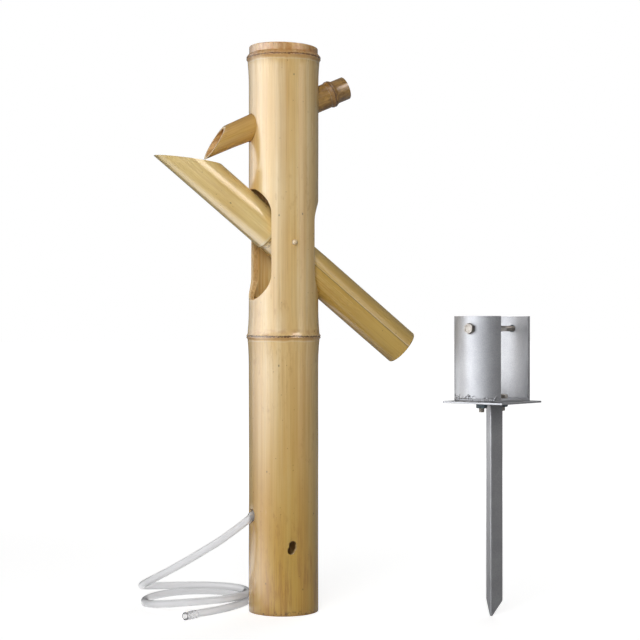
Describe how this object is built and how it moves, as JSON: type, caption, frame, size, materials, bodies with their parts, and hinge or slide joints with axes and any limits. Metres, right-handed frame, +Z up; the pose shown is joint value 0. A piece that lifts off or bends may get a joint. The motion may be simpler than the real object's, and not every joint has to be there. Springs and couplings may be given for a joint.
{
  "type": "shishi odoshi",
  "caption": "Bamboo shishi odoshi: a post with a rocking water tube, a spout fed by a clear hose, and a steel ground stake with a clamp holder.",
  "frame": {"origin": "centre of the post's foot, on the ground", "axes": "+Z up along the post, +X along the rocker towards its tail, +Y to the back, along the pivot pin"},
  "size_m": [0.3954, 0.2725, 0.5998],
  "materials": {
    "post_bamboo": "satin",
    "rocker_bamboo": "satin",
    "pin_bamboo": "matte",
    "spout_bamboo": "satin",
    "clear_hose": "gloss",
    "painted_steel": "matte",
    "bolt_steel": "satin",
    "zinc_nut": "satin"
  },
  "bodies": {
    "post": {"post_culm": "post_bamboo", "pivot_pin": "pin_bamboo", "spout_pipe": "spout_bamboo", "inner_hose": "clear_hose", "hose_lead": "clear_hose", "hose_coil": "clear_hose", "hose_end_fitting": "clear_hose", "stake_angle": "painted_steel", "stake_plate": "painted_steel", "stake_weld": "painted_steel", "holder_base": "painted_steel", "front_shell": "painted_steel", "back_shell": "painted_steel", "front_shell_weld": "painted_steel", "back_shell_weld": "painted_steel", "plate_bolt_front": "bolt_steel", "plate_bolt_back": "bolt_steel", "cross_bolt": "bolt_steel", "plate_nut_front": "zinc_nut", "plate_nut_back": "zinc_nut", "cross_nut": "zinc_nut"},
    "rocker": {"rocker_tube": "rocker_bamboo"}
  },
  "joints": [
    {"name": "rocker_swing", "type": "hinge", "parent": "post", "child": "rocker", "pos_m": [0, 0, 0.3901], "axis": [0, -1, 0], "range_deg": [0, 73]}
  ]
}
